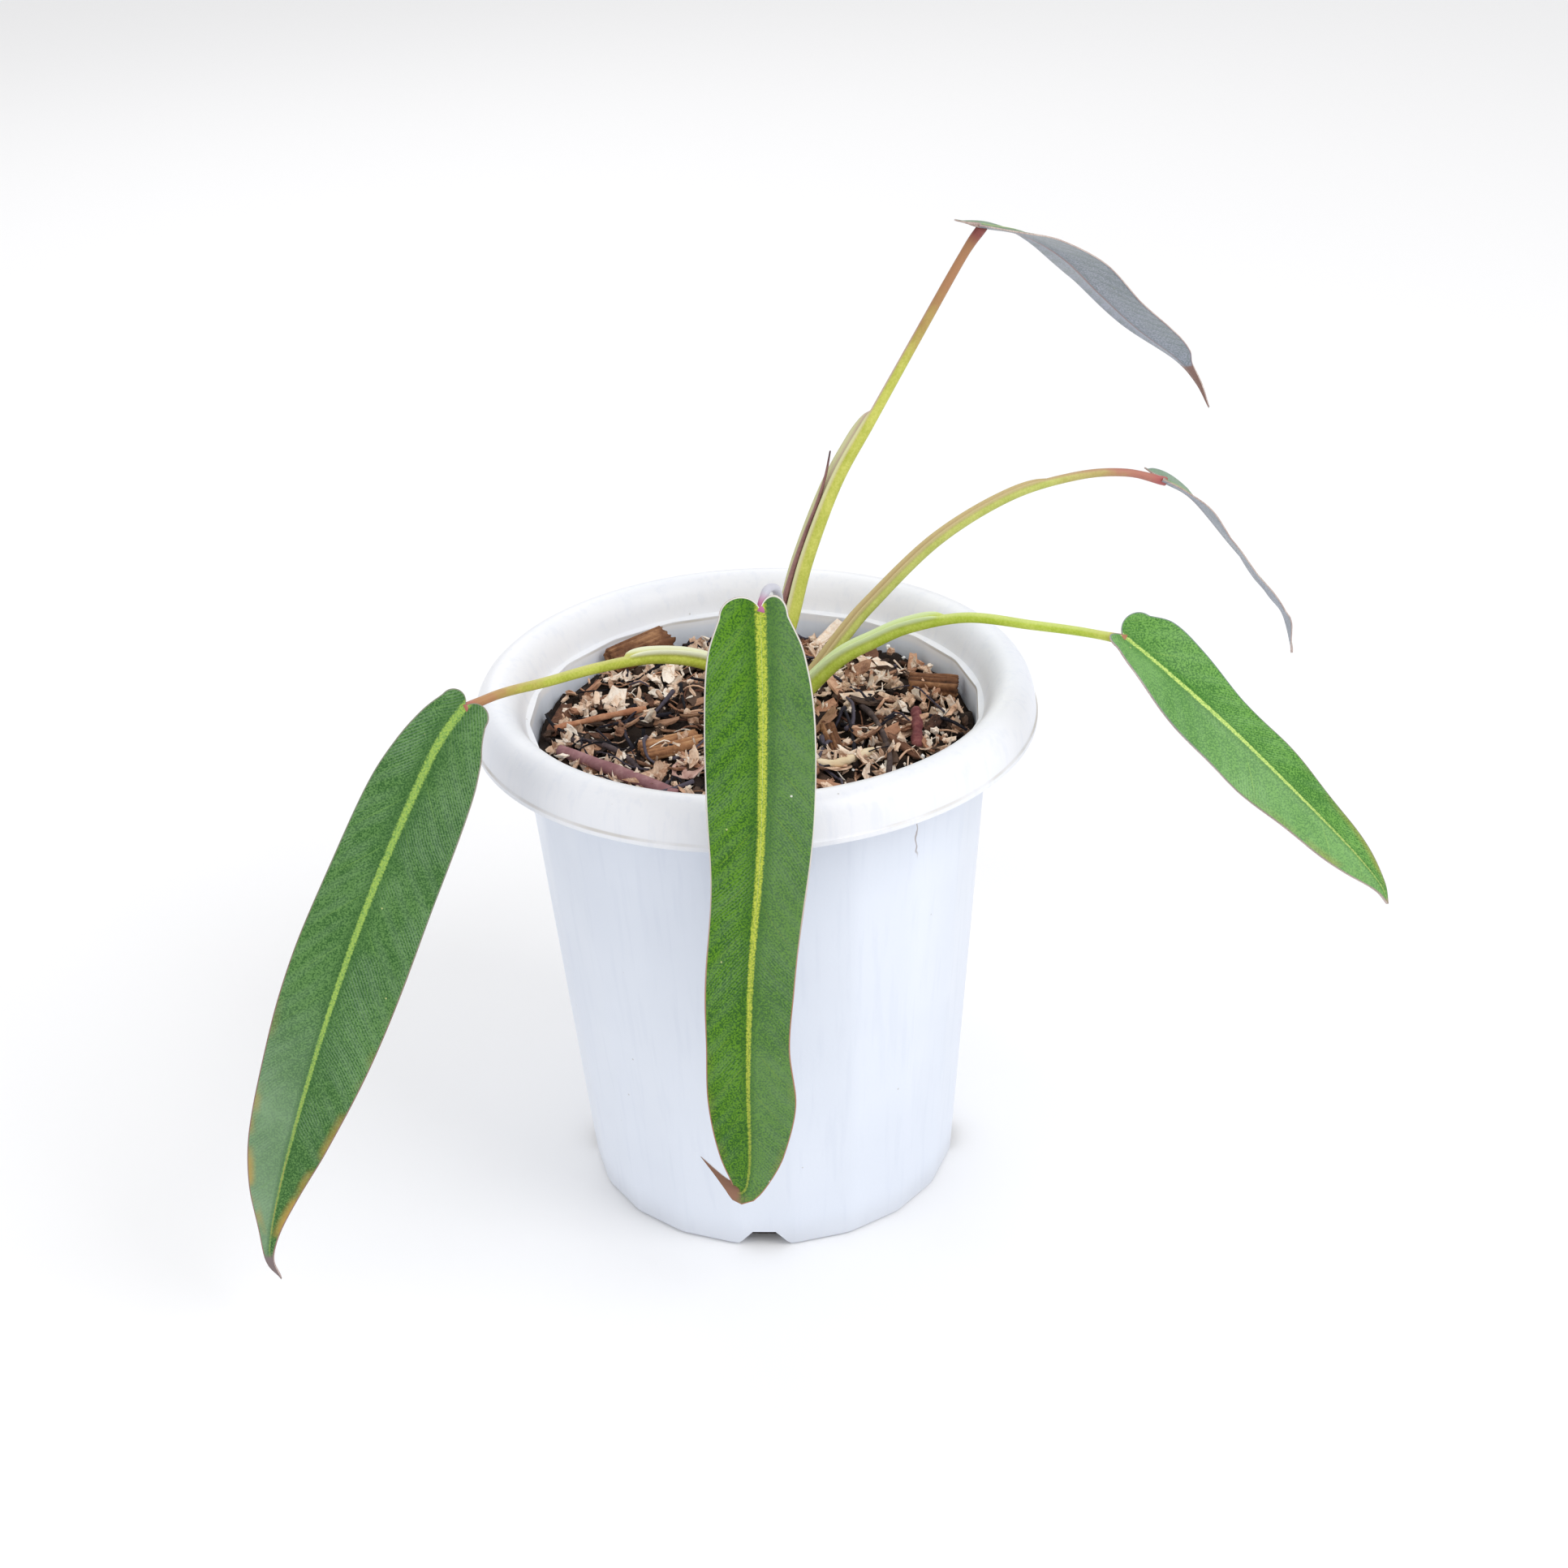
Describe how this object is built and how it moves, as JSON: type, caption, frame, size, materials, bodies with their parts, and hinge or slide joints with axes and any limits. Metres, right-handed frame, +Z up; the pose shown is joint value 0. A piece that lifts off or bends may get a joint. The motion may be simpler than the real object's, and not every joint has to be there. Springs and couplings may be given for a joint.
{
  "type": "potted philodendron spiritus-sancti",
  "caption": "Philodendron with long narrow drooping leaves on arching stalks, standing in a white nursery pot filled with bark mix.",
  "frame": {"origin": "centre of the pot's foot, on the surface it stands on", "axes": "+Z up along the pot's axis, +X to the right and -Y towards the viewer in the picture"},
  "size_m": [0.3383, 0.272, 0.2831],
  "materials": {
    "pot_plastic": "satin white, moulded",
    "potting_mix": "rough chunky bark and husk mix",
    "bark": "rough brown bark",
    "stem": "brown knobbly stem with roots",
    "petiole": "smooth pale green with a pink tint",
    "leaf": "satin deep green with a pale midrib",
    "new_leaf": "satin purple-brown, rolled",
    "old_stalk": "dull dry purple-brown",
    "dry_leaf": "dull dry pinkish brown",
    "root": "dull dark brown",
    "pale_root": "dull cream"
  },
  "bodies": {
    "root": {"pot": "pot_plastic", "potting_mix": "potting_mix", "stem": "stem", "petiole_left": "petiole", "petiole_front": "petiole", "petiole_right": "petiole", "petiole_upright": "petiole", "petiole_tall": "petiole", "leaf_left": "leaf", "leaf_front": "leaf", "leaf_right": "leaf", "leaf_upright": "leaf", "leaf_tall": "leaf", "new_leaf": "new_leaf", "bark_back": "bark", "bark_right": "bark", "bark_flat": "bark", "bark_strip": "bark", "old_petiole": "old_stalk", "red_stick": "old_stalk", "pink_twig": "old_stalk", "pale_root": "pale_root", "root_left": "root", "root_right": "root", "dry_scrap": "dry_leaf"}
  },
  "joints": []
}
